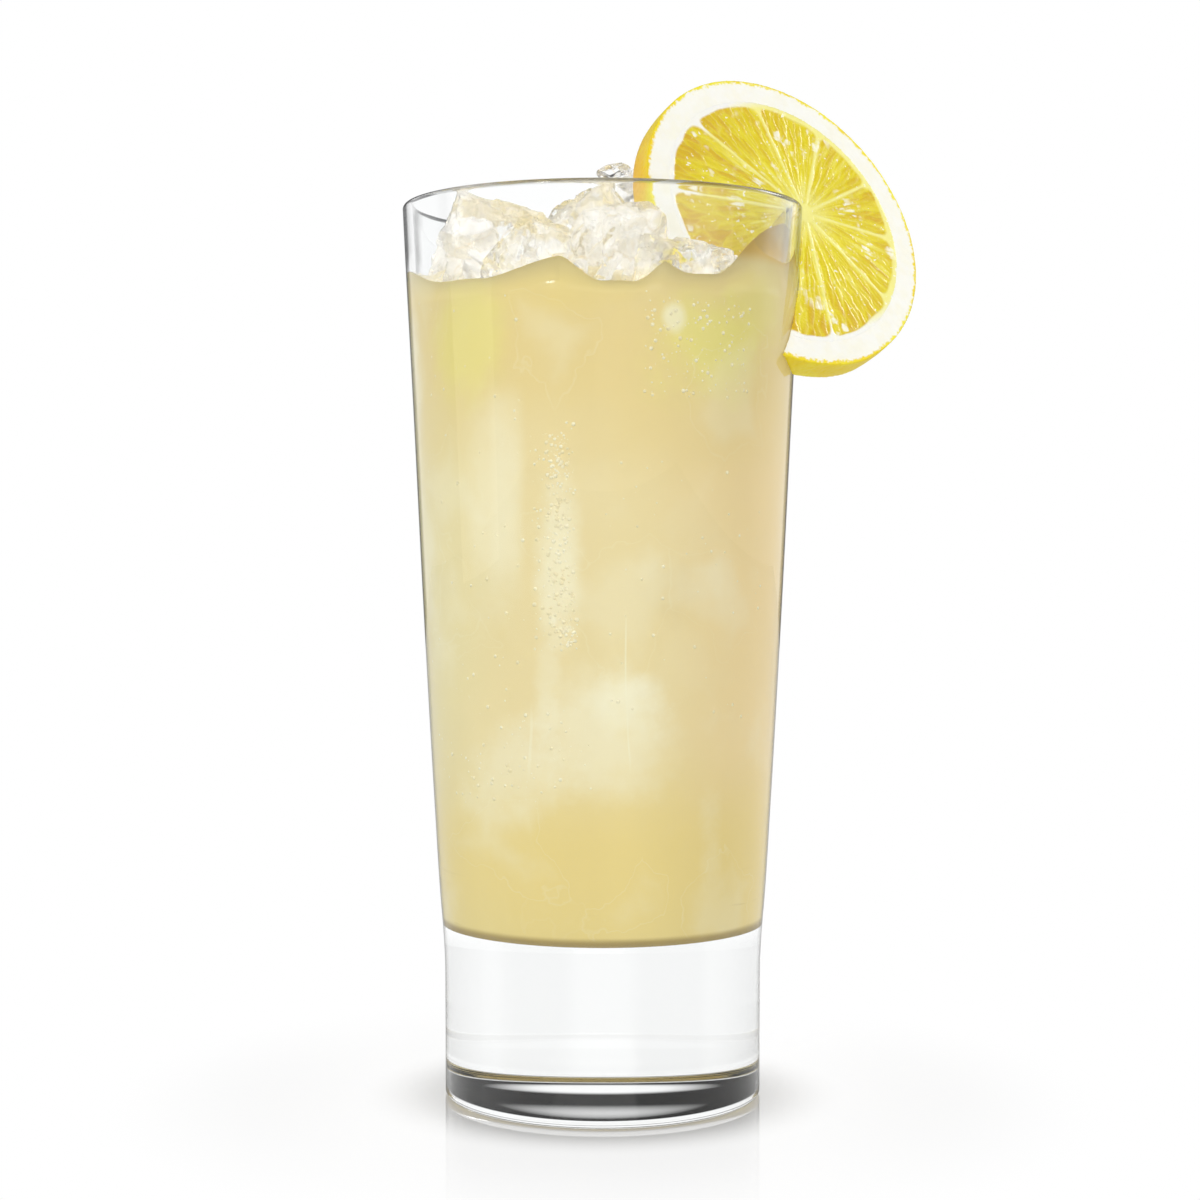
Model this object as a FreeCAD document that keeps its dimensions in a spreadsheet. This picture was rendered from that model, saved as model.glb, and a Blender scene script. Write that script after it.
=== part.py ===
"""A tall drinking glass of iced lemon fizz, built as a parametric FreeCAD document.

Frame: millimetres, +Z up, the origin at the centre of the glass's foot. The lemon slice
hangs on the rim at +X, and its cut face looks towards -Y.
"""
import FreeCAD, Part
import os

import Sketcher
from FreeCAD import Placement, Rotation, Vector

SIZES = {
    # the glass: a slightly flared wall on a thick, solid, cylindrical base
    "glassHeight": 165.0,
    "rimRadius": 37.0,
    "rimWall": 1.8,
    "rimRound": 0.8,
    "baseRadius": 29.4,
    "baseHeight": 28.0,
    "shoulderStep": 0.8,
    "shoulderRise": 8.0,
    "heelRound": 1.5,
    "floorRise": 4.0,
    "floorWall": 1.9,
    "floorRound": 1.2,
    # the shallow hollow under the foot, inside a flat standing ring
    "standingRing": 6.4,
    "puntSlope": 8.0,
    "puntDepth": 1.6,
    # how far the drink stops short of the rim
    "headspace": 13.5,
    # the lemon, and where the slice is cut from it and set on the rim
    "lemonRadius": 30.6,
    "sliceThickness": 5.6,
    "sliceOffset": -3.4,
    "sliceInset": 2.9,
    "sliceDrop": 2.2,
    "sliceTurn": 33.5,
    "sliceTilt": 65.8,
    # the cut face of the slice
    "rindWidth": 5.9,
    "coreAcross": 5.2,
    "coreUp": 2.0,
    "membrane": 0.9,
    "pulpRound": 1.3,
    "pulpDepth": 0.45,
    "segmentStart": 211.0,
    # the wedge that opens the slice's slit, from beside the core to the glass's wall
    "notchInset": 4.2,
    "notchStart": 217.5,
    "notchAngle": 75.0,
    # what keeps the loose things apart
    "rimFit": 0.15,
    "iceGap": 0.7,
    "lemonGap": 0.5,
}

# The lumps of ice that stand out of the drink. Each has its bearing in degrees about the
# glass's axis, the distance of its middle in from the rim, the height of its middle over the
# drink, its size, its height as a share of its size, and its turn and its lean in degrees.
ICE = {
    "ice_left": (208.0, 14.5, 1.4, 20.0, 0.95, 12.0, 16.0),
    "ice_front_left": (244.0, 10.0, -0.5, 14.0, 1.0, 40.0, 10.0),
    "ice_front": (277.0, 16.5, 1.5, 18.0, 1.05, 25.0, -12.0),
    "ice_right": (297.5, 8.0, -2.5, 18.0, 0.7, 5.0, 4.0),
    "ice_middle": (108.0, 33.8, 6.0, 17.5, 1.2, 70.0, 8.0),
    "ice_peak": (52.0, 21.0, 10.6, 22.0, 1.1, 33.0, -14.0),
    "ice_back": (112.0, 15.0, -1.0, 19.0, 0.8, 55.0, 18.0),
    "ice_back_right": (18.0, 11.5, -3.0, 17.0, 0.8, 18.0, 6.0),
}

# The planes that break a lump's corners go round it by the golden angle, and lie at uneven
# shares of half its size from its middle.
FACETS = 10
GOLDEN_TURN = 137.5
GOLDEN_SHARE = 0.618
LEAST_CUT = 0.96
CUT_SPREAD = 0.26

# The width of each segment of the lemon in degrees about its core.
SEGMENTS = (18.0, 37.0, 42.0, 40.0, 36.0, 39.0, 38.0, 38.0, 37.0, 35.0)

# Heights and radii that more than one piece is made to.
SHOULDER = "(sizes.baseHeight + sizes.shoulderRise)"
SHOULDER_RADIUS = "(sizes.baseRadius + sizes.shoulderStep)"
FLOOR = "(sizes.baseHeight + sizes.floorRise)"
FLOOR_RADIUS = "(sizes.baseRadius - sizes.floorWall)"
MOUTH_RADIUS = "(sizes.rimRadius - sizes.rimWall)"
FLARE = f"(({MOUTH_RADIUS} - {FLOOR_RADIUS}) / (sizes.glassHeight - {FLOOR}))"
LEVEL = "(sizes.glassHeight - sizes.headspace)"
LEVEL_RADIUS = f"({FLOOR_RADIUS} + ({LEVEL} - {FLOOR}) * {FLARE})"
PUNT_RADIUS = "(sizes.baseRadius - sizes.standingRing)"

doc = FreeCAD.newDocument("iced_fizz")
sheet = doc.addObject("Spreadsheet::Sheet", "sizes")


def fillSheet():
    for row, (alias, number) in enumerate(SIZES.items(), start=1):
        sheet.set(f"A{row}", alias)
        sheet.set(f"B{row}", str(number))
        sheet.setAlias(f"B{row}", alias)
    doc.recompute()


def value(formula):
    """The number that a formula of the sheet's cells gives."""
    return float(sheet.evalExpression(formula))


def size(alias):
    return value(f"sizes.{alias}")


def bind(thing, formulas):
    for name, formula in formulas.items():
        thing.setExpression(name, formula)


# ---- turned pieces: the glass and the drink that fills it ----

def bindCorner(sketch, edge, axis, formula):
    """Ties the start of one edge of a sketch to an axis, or to its distance from it."""
    if formula == "0":
        ownAxis = -2 if axis == "X" else -1
        sketch.addConstraint(Sketcher.Constraint("PointOnObject", edge, 1, ownAxis))
        return
    distance = Sketcher.Constraint(f"Distance{axis}", -1, 1, edge, 1, value(formula))
    index = sketch.addConstraint(distance)
    name = f"corner{edge}{axis}"
    sketch.renameConstraint(index, name)
    sketch.setExpression(f"Constraints.{name}", formula)


def halfSection(body, name, corners):
    """A closed outline on the body's XZ plane, with each corner given by two formulas."""
    sketch = body.newObject("Sketcher::SketchObject", name)
    plane = next(each for each in body.Origin.OriginFeatures if each.Role == "XZ_Plane")
    sketch.AttachmentSupport = [(plane, "")]
    sketch.MapMode = "FlatFace"
    places = [Vector(value(across), value(up), 0) for across, up in corners]
    for index, place in enumerate(places):
        sketch.addGeometry(Part.LineSegment(place, places[(index + 1) % len(places)]), False)
    for index in range(len(places)):
        following = (index + 1) % len(places)
        sketch.addConstraint(Sketcher.Constraint("Coincident", index, 2, following, 1))
    for index, (across, up) in enumerate(corners):
        bindCorner(sketch, index, "X", across)
        bindCorner(sketch, index, "Y", up)
    return sketch


def turned(body, kind, name, corners):
    """Adds or takes away the outline turned about the body's Z axis."""
    sketch = halfSection(body, f"{name}_section", corners)
    feature = body.newObject(kind, name)
    feature.Profile = sketch
    feature.ReferenceAxis = (sketch, ["V_Axis"])
    feature.Angle = 360.0
    doc.recompute()
    return feature


def circleEdge(shape, radius, height):
    """The name of the round edge that has this radius at this height."""
    for index, edge in enumerate(shape.Edges, start=1):
        curve = edge.Curve
        if not isinstance(curve, Part.Circle):
            continue
        if abs(curve.Radius - radius) < 0.01 and abs(curve.Center.z - height) < 0.01:
            return f"Edge{index}"
    raise ValueError(f"no round edge of radius {radius} at height {height}")


def rounded(body, name, radius, edges):
    """Rounds the circular edges that are named by pairs of formulas, radius and height."""
    base = body.Tip
    names = [circleEdge(base.Shape, value(across), value(up)) for across, up in edges]
    fillet = body.newObject("PartDesign::Fillet", name)
    fillet.Base = (base, names)
    fillet.setExpression("Radius", radius)
    doc.recompute()


def makeGlass():
    body = doc.addObject("PartDesign::Body", "glass")
    turned(body, "PartDesign::Revolution", "outside", [
        ("0", "0"),
        ("sizes.baseRadius", "0"),
        ("sizes.baseRadius", "sizes.baseHeight"),
        (SHOULDER_RADIUS, SHOULDER),
        ("sizes.rimRadius", "sizes.glassHeight"),
        ("0", "sizes.glassHeight"),
    ])
    solid = body.Shape.Volume
    turned(body, "PartDesign::Groove", "well", [
        ("0", FLOOR),
        (FLOOR_RADIUS, FLOOR),
        (MOUTH_RADIUS, "sizes.glassHeight"),
        ("0", "sizes.glassHeight"),
    ])
    hollow = body.Shape.Volume
    turned(body, "PartDesign::Groove", "punt", [
        ("0", "0"),
        (PUNT_RADIUS, "0"),
        (f"{PUNT_RADIUS} - sizes.puntSlope", "sizes.puntDepth"),
        ("0", "sizes.puntDepth"),
    ])
    if not solid > hollow > body.Shape.Volume:
        raise ValueError("the well or the punt cuts nothing from the glass")
    rounded(body, "rim", "min(sizes.rimRound; sizes.rimWall * 0.45)", [
        ("sizes.rimRadius", "sizes.glassHeight"),
        (MOUTH_RADIUS, "sizes.glassHeight"),
    ])
    rounded(body, "heel", "sizes.heelRound", [("sizes.baseRadius", "0")])
    rounded(body, "floor", "sizes.floorRound", [(FLOOR_RADIUS, FLOOR)])
    return body


def makeDrinkFill():
    """The well filled up to the drink's level, before ice and lemon are cut out of it."""
    body = doc.addObject("PartDesign::Body", "drink_fill")
    turned(body, "PartDesign::Revolution", "fill", [
        ("0", FLOOR),
        (FLOOR_RADIUS, FLOOR),
        (LEVEL_RADIUS, LEVEL),
        ("0", LEVEL),
    ])
    rounded(body, "fill_floor", "sizes.floorRound", [(FLOOR_RADIUS, FLOOR)])
    return body


# ---- the slice of lemon, set on the rim ----

def slicePlacement():
    """Takes the middle of the slice's cut face, at the origin and facing +Z, to its place."""
    across = value("sizes.rimRadius - sizes.sliceInset")
    up = value("sizes.glassHeight - sizes.sliceDrop")
    return Placement(Vector(across, 0, up), Rotation(size("sliceTurn"), 0, size("sliceTilt")))


def makeSliceRound():
    """A disc cut across the fruit, so that its rind bulges as the lemon does."""
    fruit = doc.addObject("Part::Sphere", "lemon")
    bind(fruit, {
        "Radius": "sizes.lemonRadius",
        "Placement.Base.z": "-sizes.sliceOffset - sizes.sliceThickness",
    })
    slab = doc.addObject("Part::Box", "knife_cuts")
    bind(slab, {
        "Length": "3 * sizes.lemonRadius",
        "Width": "3 * sizes.lemonRadius",
        "Height": "sizes.sliceThickness",
        "Placement.Base.x": "-1.5 * sizes.lemonRadius",
        "Placement.Base.y": "-1.5 * sizes.lemonRadius",
        "Placement.Base.z": "-sizes.sliceThickness",
    })
    disc = doc.addObject("Part::Common", "lemon_disc")
    disc.Base = fruit
    disc.Tool = slab
    return disc


def segmentFace(start, width):
    """The outline of one segment's pulp: a wedge about the core, inside the white pith."""
    core = Vector(size("coreAcross"), size("coreUp"), 0)
    reach = 2 * size("lemonRadius")
    sides = [Rotation(Vector(0, 0, 1), start + turn).multVec(Vector(reach, 0, 0))
             for turn in (0.0, width / 2, width)]
    wedge = Part.Face(Part.makePolygon([core] + [core + side for side in sides] + [core]))
    pulpRadius = size("lemonRadius") - size("rindWidth")
    pulp = Part.Face(Part.Wire(Part.makeCircle(pulpRadius)))
    shrunk = wedge.common(pulp).Faces[0].makeOffset2D(-size("membrane") / 2 - size("pulpRound"))
    return shrunk.makeOffset2D(size("pulpRound")).Faces[0]


def makePulp():
    """Shallow recesses where the pulp lies below the membranes, on both cut faces."""
    depth = size("pulpDepth")
    recesses = []
    start = size("segmentStart")
    for width in SEGMENTS:
        face = segmentFace(start, width)
        start += width
        for height in (-depth, -size("sliceThickness") - depth):
            recess = face.extrude(Vector(0, 0, 2 * depth))
            recess.translate(Vector(0, 0, height))
            recesses.append(recess)
    pulp = doc.addObject("Part::Feature", "pulp_recesses")
    pulp.Shape = Part.makeCompound(recesses)
    return pulp


def makeRimSlot():
    """The glass's wall with the fit all round it, which the slit straddles."""
    cones = {
        "slot_outside": (SHOULDER, SHOULDER_RADIUS, "sizes.rimRadius", "+"),
        "slot_inside": (FLOOR, FLOOR_RADIUS, MOUTH_RADIUS, "-"),
    }
    made = []
    for name, (foot, lower, upper, sign) in cones.items():
        cone = doc.addObject("Part::Cone", name)
        bind(cone, {
            "Radius1": f"{lower} {sign} sizes.rimFit",
            "Radius2": f"{upper} {sign} sizes.rimFit",
            "Height": f"sizes.glassHeight - {foot} + sizes.rimFit",
            "Placement.Base.z": foot,
        })
        made.append(cone)
    slot = doc.addObject("Part::Cut", "rim_slot")
    slot.Base, slot.Tool = made
    return slot


def makeNotch(wellSide):
    """The wedge of the slice that is missing between its inner flap and the glass's wall."""
    wedge = doc.addObject("Part::Cylinder", "wedge")
    bind(wedge, {
        "Radius": "3 * sizes.lemonRadius",
        "Height": "3 * sizes.sliceThickness",
        "Angle": "sizes.notchAngle",
    })
    across = size("coreAcross") - size("notchInset")
    apex = Vector(across, size("coreUp"), -2 * size("sliceThickness"))
    wedge.Placement = slicePlacement() * Placement(apex, Rotation(size("notchStart"), 0, 0))
    notch = doc.addObject("Part::Common", "notch")
    notch.Base = wedge
    notch.Tool = wellSide
    return notch


def makeLemonSlice():
    face = doc.addObject("Part::Cut", "lemon_face")
    face.Base = makeSliceRound()
    face.Tool = makePulp()
    face.Placement = slicePlacement()
    rimSlot = makeRimSlot()
    slit = doc.addObject("Part::MultiFuse", "slit")
    slit.Shapes = [rimSlot, makeNotch(rimSlot.Tool)]
    piece = doc.addObject("Part::Cut", "lemon_slice")
    piece.Base = face
    piece.Tool = slit
    doc.recompute()
    return piece


# ---- the ice ----

def beyondPlane(point, direction):
    """A block that fills the far side of the plane through a point, across a direction."""
    reach = 4 * size("rimRadius")
    block = Part.makeBox(reach, reach, reach, Vector(-reach / 2, -reach / 2, 0))
    block.Placement = Placement(point, Rotation(Vector(0, 0, 1), direction))
    return block


def iceMiddle(name):
    bearing, inset, height = ICE[name][:3]
    spoke = Rotation(bearing, 0, 0).multVec(Vector(size("rimRadius") - inset, 0, 0))
    return spoke + Vector(0, 0, value(LEVEL) + height)


def roughLump(name):
    """A block with its corners broken by planes spread evenly round it."""
    breadth, tallness, turn, lean = ICE[name][3:]
    middle = iceMiddle(name)
    lump = Part.makeBox(breadth, breadth, breadth * tallness,
                        Vector(-breadth / 2, -breadth / 2, -breadth * tallness / 2))
    lump.Placement = Placement(middle, Rotation(turn, lean, -lean / 2))
    for index in range(FACETS):
        rise = 1 - (2 * index + 1) / FACETS
        level = Vector((1 - rise * rise) ** 0.5, 0, rise)
        outward = Rotation(turn + GOLDEN_TURN * index, 0, 0).multVec(level)
        share = LEAST_CUT + CUT_SPREAD * ((turn / 7 + GOLDEN_SHARE * index) % 1)
        lump = lump.cut(beyondPlane(middle + outward * (breadth / 2 * share), outward))
    return lump


def makeIce():
    """Each lump keeps clear of the others, of the glass's wall and of the lemon."""
    gap = size("iceGap")
    flare = value(FLARE)
    height = 1.5 * size("glassHeight")
    lower = value(FLOOR_RADIUS) - gap - flare * value(FLOOR)
    well = Part.makeCone(lower, lower + flare * height, height)
    thickness = size("sliceThickness") + 2 * size("lemonGap")
    lemon = Part.makeCylinder(size("lemonRadius") + size("lemonGap"), thickness,
                              Vector(0, 0, size("lemonGap") - thickness))
    lemon.Placement = slicePlacement()
    pieces = []
    for name, numbers in ICE.items():
        lump = roughLump(name).common(well)
        middle = iceMiddle(name)
        for other, otherNumbers in ICE.items():
            if other == name:
                continue
            apart = iceMiddle(other) - middle
            share = numbers[3] / (numbers[3] + otherNumbers[3])
            outward = apart / apart.Length
            lump = lump.cut(beyondPlane(middle + apart * share - outward * (gap / 2), outward))
        lump = lump.cut(lemon)
        piece = doc.addObject("Part::Feature", name)
        piece.Shape = max(lump.Solids, key=lambda solid: solid.Volume)
        pieces.append(piece)
    return pieces


def makeDrink(fill, sunk):
    """The drink up to its level, cut round the ice and the lemon that dip into it."""
    things = doc.addObject("Part::MultiFuse", "things_in_drink")
    things.Shapes = sunk
    drink = doc.addObject("Part::Cut", "drink")
    drink.Base = fill
    drink.Tool = things
    doc.recompute()
    return drink


# ---- checks and export ----

def checkObjects():
    for thing in doc.Objects:
        if "Invalid" in thing.State or "Error" in thing.State:
            raise ValueError(f"{thing.Name} failed: {thing.State}")


def checkPiece(piece):
    shape = piece.Shape
    if shape.isNull() or not shape.isValid() or len(shape.Solids) != 1:
        raise ValueError(f"{piece.Label} isn't one sound solid: {len(shape.Solids)}")


def main():
    fillSheet()
    glass = makeGlass()
    slice_ = makeLemonSlice()
    ice = makeIce()
    drink = makeDrink(makeDrinkFill(), ice + [slice_])
    pieces = [glass, drink, slice_] + ice
    doc.recompute()
    checkObjects()
    os.makedirs("parts", exist_ok=True)
    for piece in pieces:
        checkPiece(piece)
    for piece in pieces:
        piece.Shape.exportStep(f"parts/{piece.Label}.step")
        box = piece.Shape.BoundBox
        print(f"{piece.Label}: {piece.Shape.Volume / 1000:.2f} ml,"
              f" x {box.XMin:.1f} to {box.XMax:.1f}, y {box.YMin:.1f} to {box.YMax:.1f},"
              f" z {box.ZMin:.1f} to {box.ZMax:.1f}")


main()
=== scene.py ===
import math
import random

import bmesh
import bpy
import numpy as np
from mathutils import Matrix, Vector, noise
from mathutils.kdtree import KDTree


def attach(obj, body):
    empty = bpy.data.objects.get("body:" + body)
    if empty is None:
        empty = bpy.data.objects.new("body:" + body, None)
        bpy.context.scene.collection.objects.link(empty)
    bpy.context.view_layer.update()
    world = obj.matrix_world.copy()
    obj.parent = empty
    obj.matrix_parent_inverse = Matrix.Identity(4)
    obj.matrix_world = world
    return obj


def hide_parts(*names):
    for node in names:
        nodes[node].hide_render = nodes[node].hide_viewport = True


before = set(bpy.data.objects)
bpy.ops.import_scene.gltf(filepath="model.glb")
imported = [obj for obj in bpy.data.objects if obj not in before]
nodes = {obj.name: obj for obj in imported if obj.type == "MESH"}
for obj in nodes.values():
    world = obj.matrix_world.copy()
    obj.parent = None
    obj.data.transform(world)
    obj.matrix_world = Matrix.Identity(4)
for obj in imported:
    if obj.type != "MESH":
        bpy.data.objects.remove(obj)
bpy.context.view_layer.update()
mm = 0.001  # everything below is worked out in millimetres and built in metres


def smoothstep(low, high, x):
    t = np.clip((x - low) / (high - low), 0.0, 1.0)
    return t * t * (3.0 - 2.0 * t)


def linked(name, data):
    made = bpy.data.objects.new(name, data)
    bpy.context.scene.collection.objects.link(made)
    return made


def smoothFaces(mesh):
    mesh.polygons.foreach_set("use_smooth", [True] * len(mesh.polygons))


def meshObject(name, points, faces, smooth=True):
    mesh = bpy.data.meshes.new(name)
    mesh.from_pydata(points, [], faces)
    mesh.validate()
    if smooth:
        smoothFaces(mesh)
    mesh.update()
    return linked(name, mesh)


def turnBetween(bearing, middle):
    # the turn from one bearing to another in degrees, -180 to 180
    return (bearing - middle + 180) % 360 - 180


def atBearing(radius, angle, height):
    # a point by its distance from the axis, its angle and its height in mm, given in metres
    return (radius * math.cos(angle) * mm, radius * math.sin(angle) * mm, height * mm)


def turnedMesh(name, profile, segments, lift=lambda radius, angle, height: height):
    # profile runs from the axis to the axis, in mm, anticlockwise, so that faces point outwards
    rings, points, faces = [], [], []
    for radius, height in profile:
        start = len(points)
        for step in range(segments if radius > 1e-6 else 1):
            angle = 2 * math.pi * step / segments
            points.append(atBearing(radius, angle, lift(radius, angle, height)))
        rings.append(range(start, len(points)))
    for lower, upper in zip(rings, rings[1:]):
        for step in range(segments):
            after = (step + 1) % segments
            if len(lower) == 1:
                faces.append((lower[0], upper[after], upper[step]))
            elif len(upper) == 1:
                faces.append((lower[step], lower[after], upper[0]))
            else:
                faces.append((lower[step], lower[after], upper[after], upper[step]))
    return meshObject(name, points, faces)


def arc(centre, radius, start, end, steps):
    # points on an arc in the half section, angles in degrees
    turns = np.radians(np.linspace(start, end, steps))
    return [(centre[0] + radius * math.cos(t), centre[1] + radius * math.sin(t)) for t in turns]


def smoothCurve(knots, heights):
    # radius at each height, on a smooth line through the knots (height, radius)
    zs, rs = np.array(knots, float).T
    slopes = np.gradient(rs, zs)
    found = []
    for z in heights:
        i = int(np.clip(np.searchsorted(zs, z) - 1, 0, len(zs) - 2))
        span = zs[i + 1] - zs[i]
        t = (z - zs[i]) / span
        found.append((2 * t**3 - 3 * t**2 + 1) * rs[i] + (t**3 - 2 * t**2 + t) * span * slopes[i]
                     + (3 * t**2 - 2 * t**3) * rs[i + 1] + (t**3 - t**2) * span * slopes[i + 1])
    return np.array(found)


def evaluated(thing, name):
    # a plain mesh object from an object with live modifiers; the first object is deleted
    graph = bpy.context.evaluated_depsgraph_get()
    mesh = bpy.data.meshes.new_from_object(thing.evaluated_get(graph))
    mesh.name = name
    old = thing.data
    bpy.data.objects.remove(thing)
    if old.users == 0:
        bpy.data.meshes.remove(old)
    return linked(name, mesh)


def combined(first, second, operation):
    # first with second added, cut away or kept in common; second is used up
    modifier = first.modifiers.new("combine", "BOOLEAN")
    modifier.operation = operation
    modifier.solver = "EXACT"
    modifier.object = second
    made = evaluated(first, first.name)
    bpy.data.objects.remove(second)
    return made


def voxelMesh(thing, voxel):
    modifier = thing.modifiers.new("remesh", "REMESH")
    modifier.mode = "VOXEL"
    modifier.voxel_size = voxel * mm
    modifier.use_smooth_shade = True
    return evaluated(thing, thing.name)


def coordinates(mesh):
    co = np.empty(len(mesh.vertices) * 3)
    mesh.vertices.foreach_get("co", co)
    return co.reshape(-1, 3)


def setCoordinates(mesh, co):
    mesh.vertices.foreach_set("co", co.ravel())
    mesh.update()


def moved(co, matrix):
    return (np.c_[co, np.ones(len(co))] @ np.array(matrix).T)[:, :3]


def addAttributes(mesh, **named):
    for name, values in named.items():
        made = mesh.attributes.new(name, "FLOAT", "POINT")
        made.data.foreach_set("value", np.asarray(values, np.float32))


def turbulence(points, scale, seed, octaves=3):
    # smooth noise at each row of points, about -1 to 1
    shift = Vector((seed * 17.3, seed * -9.1, seed * 5.7))
    return np.array([noise.fractal(Vector(p) * scale + shift, 0.9, 2.0, octaves) for p in points])


class Signal:  # a socket that takes part in Python arithmetic
    def __init__(self, maker, socket):
        self.maker, self.socket = maker, socket

    def maths(self, operation, *others):
        made = self.maker.node("ShaderNodeMath", {"operation": operation}, dict(enumerate(others)))
        return Signal(self.maker, made.outputs[0])

    def __add__(self, other):
        return self.maths("ADD", self, other)

    def __sub__(self, other):
        return self.maths("SUBTRACT", self, other)

    def __rsub__(self, other):
        return self.maths("SUBTRACT", other, self)

    def __mul__(self, other):
        return self.maths("MULTIPLY", self, other)

    def __pow__(self, other):
        return self.maths("POWER", self, other)

    __radd__, __rmul__ = __add__, __mul__

    def __abs__(self):
        return self.maths("ABSOLUTE", self)

    def orMore(self, other):
        return self.maths("MAXIMUM", self, other)


class NodeMaker:
    def __init__(self, tree):
        self.tree = tree
        tree.nodes.clear()

    def node(self, kind, settings=None, sockets=None):
        made = self.tree.nodes.new(kind)
        for name, setting in (settings or {}).items():
            if name == "stops":
                self.fillRamp(made.color_ramp, setting)
            else:
                setattr(made, name, setting)
        for key, given in (sockets or {}).items():
            self.feed(made.inputs[key], given)
        return made

    def fillRamp(self, ramp, stops):
        while len(ramp.elements) < len(stops):
            ramp.elements.new(1.0)
        for element, (place, colour) in zip(ramp.elements, stops):
            element.position, element.color = place, colour

    def feed(self, socket, given):
        if isinstance(given, Signal):
            given = given.socket
        if isinstance(given, bpy.types.NodeSocket):
            self.tree.links.new(given, socket)
        else:
            socket.default_value = given

    def signal(self, output, kind, settings=None, sockets=None):
        return Signal(self, self.node(kind, settings, sockets).outputs[output])

    def attribute(self, name):
        return self.signal("Fac", "ShaderNodeAttribute", {"attribute_name": name})

    def ramp(self, signal, stops):
        return self.node("ShaderNodeValToRGB", {"stops": stops}, {"Fac": signal}).outputs["Color"]

    def mask(self, signal, low, high):
        return self.signal("Result", "ShaderNodeMapRange", {"interpolation_type": "SMOOTHSTEP"}, {
            "Value": signal, "From Min": low, "From Max": high, "To Min": 0.0, "To Max": 1.0})

    def mixColour(self, share, first, second):
        return self.node("ShaderNodeMix", {"data_type": "RGBA"}, {
            "Factor": share, 6: first, 7: second}).outputs[2]

    def noise(self, where, scale, detail=3.0, roughness=0.5, distortion=0.0):
        return self.signal("Fac", "ShaderNodeTexNoise", None, {
            "Vector": where, "Scale": scale, "Detail": detail, "Roughness": roughness,
            "Distortion": distortion})

    def principled(self, sockets):
        return self.node("ShaderNodeBsdfPrincipled", None, sockets).outputs[0]

    def blended(self, share, first, second):
        return self.node("ShaderNodeMixShader", None, {0: share, 1: first, 2: second}).outputs[0]

    def axis(self, where, name):
        return self.signal(name, "ShaderNodeSeparateXYZ", None, {"Vector": where})

    def length(self, vector):
        return self.signal("Value", "ShaderNodeVectorMath", {"operation": "LENGTH"}, {0: vector})

    def place(self):
        return self.node("ShaderNodeTexCoord").outputs["Object"]

    def mapped(self, where, scale, location=(0, 0, 0)):
        return self.node("ShaderNodeMapping", None, {
            "Vector": where, "Location": location, "Scale": scale}).outputs["Vector"]


def srgb(red, green, blue):
    # a colour written as 0 to 255 on screen, as linear light
    def linear(part):
        part /= 255.0
        return part / 12.92 if part <= 0.04045 else ((part + 0.055) / 1.055) ** 2.4
    return (linear(red), linear(green), linear(blue), 1.0)


def newMaterial(name):
    material = bpy.data.materials.new(name)
    material.use_nodes = True
    return material, NodeMaker(material.node_tree)


def finish(maker, shader, **others):
    maker.node("ShaderNodeOutputMaterial", None, {"Surface": shader, **others})


def dress(thing, material, slot, *replaced):
    thing.data.materials.clear()
    thing.data.materials.append(material)
    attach(thing, "root")
    if replaced:
        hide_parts(*replaced)


cameraValues = {
    "eye": (-0.00064, -0.43422, 0.10409),
    "aim": (-0.00048, 0.0, 0.09208),
    "lens": 69.85,
}


def makeCamera(v):
    data = bpy.data.cameras.new("camera")
    data.lens = v["lens"]
    data.sensor_width = 36.0
    data.clip_start = 0.01
    camera = linked("camera", data)
    camera.location = v["eye"]
    camera.rotation_mode = "QUATERNION"
    look = Vector(v["aim"]) - Vector(v["eye"])
    camera.rotation_quaternion = look.to_track_quat("-Z", "Y")
    bpy.context.scene.camera = camera


worldValues = {
    "diffuse": 0.50,
    # height of a ray's direction, and how bright the room is there, seen through glass and in gloss
    "through": ((0.0, 1.0), (0.170, 1.0), (0.195, 0.0), (0.29, 0.0), (0.35, 1.0), (0.62, 1.0),
                (0.80, 0.40), (1.0, 0.45)),
    "gloss": ((0.0, 1.0), (0.55, 1.0), (0.75, 0.35), (1.0, 0.45)),
    # black cards beside the glass, which draw its edges: how far to the side, and how dark
    "cards": (0.91, 0.97, 0.85), "cardsBehind": (0.08, 0.17, 0.50, 0.78), "cardSoft": 0.1,
    "cardsFrom": (0.6, 0.8),
}


def makeWorld(v):
    world = bpy.data.worlds.new("studio")
    bpy.context.scene.world = world
    world.use_nodes = True
    maker = NodeMaker(world.node_tree)
    ray = maker.node("ShaderNodeLightPath")
    direction = maker.node("ShaderNodeTexCoord").outputs["Generated"]
    across, behind, up = (maker.axis(direction, name) for name in "XYZ")
    aside = abs(across)
    near, full, dark = v["cards"]
    beside = maker.mask(aside, near, full) * dark
    near, full, far, dark = v["cardsBehind"]
    back = maker.mask(aside, near, full) * maker.mask(aside, far, far - v["cardSoft"])
    back = back * maker.mask(behind, *v["cardsFrom"])
    cards = {"Is Transmission Ray": beside, "Is Glossy Ray": back * dark}
    colour = (v["diffuse"],) * 3 + (1.0,)
    for kind, name in (("Is Glossy Ray", "gloss"), ("Is Transmission Ray", "through")):
        room = maker.ramp(up, [(place, (level, level, level, 1.0)) for place, level in v[name]])
        room = maker.mixColour(cards[kind], room, (0.0, 0.0, 0.0, 1.0))
        colour = maker.mixColour(ray.outputs[kind], colour, room)
    colour = maker.mixColour(ray.outputs["Is Camera Ray"], colour, (1.0, 1.0, 1.0, 1.0))
    background = maker.node("ShaderNodeBackground", None, {"Color": colour, "Strength": 1.0})
    maker.node("ShaderNodeOutputWorld", None, {"Surface": background.outputs[0]})


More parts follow.
